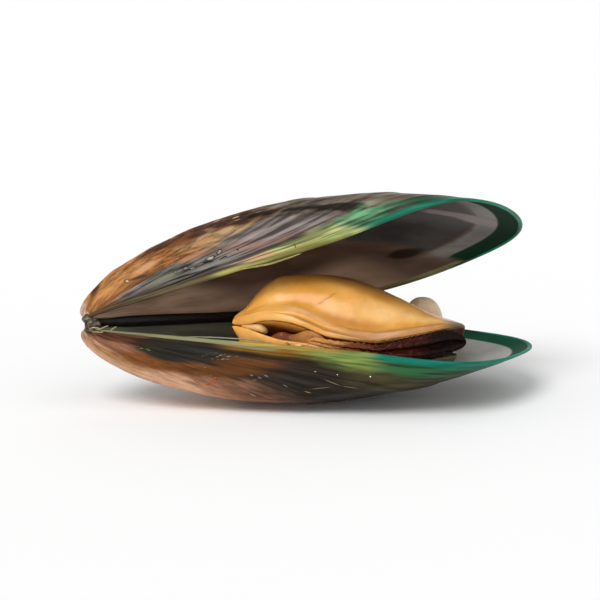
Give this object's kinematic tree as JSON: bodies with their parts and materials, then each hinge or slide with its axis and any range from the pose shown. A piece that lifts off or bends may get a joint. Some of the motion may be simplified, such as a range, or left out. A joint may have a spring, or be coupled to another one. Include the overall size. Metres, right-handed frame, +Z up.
{
  "type": "mussel shell",
  "caption": "Open mussel shell, two hinged pear-shaped valves with growth ledges, the cooked orange meat with a dark frilled edge lying in the lower valve",
  "frame": {"origin": "The middle of the bounding box's bottom face, in the plane that the lower valve's belly rests on", "axes": "+X runs from the beaks to the rear tips, +Y from the open side to the hinge side, +Z up, with the lower valve underneath"},
  "size_m": [0.1016, 0.051, 0.047],
  "materials": {
    "shell": "satin, brown with green lips",
    "horn": "dull, near black",
    "mantle": "moist, orange",
    "frill": "rough, dark maroon",
    "gill": "moist, pinkish tan",
    "foot": "moist, whitish",
    "muscle": "moist, pale tan"
  },
  "bodies": {
    "root": {"lower_valve": "shell", "upper_valve": "shell", "hinge_ligament": "horn", "mantle_upper_lobe": "mantle", "mantle_lower_lobe": "mantle", "mantle_frill": "frill", "gills": "gill", "foot": "foot", "adductor_muscle": "muscle"}
  },
  "joints": []
}
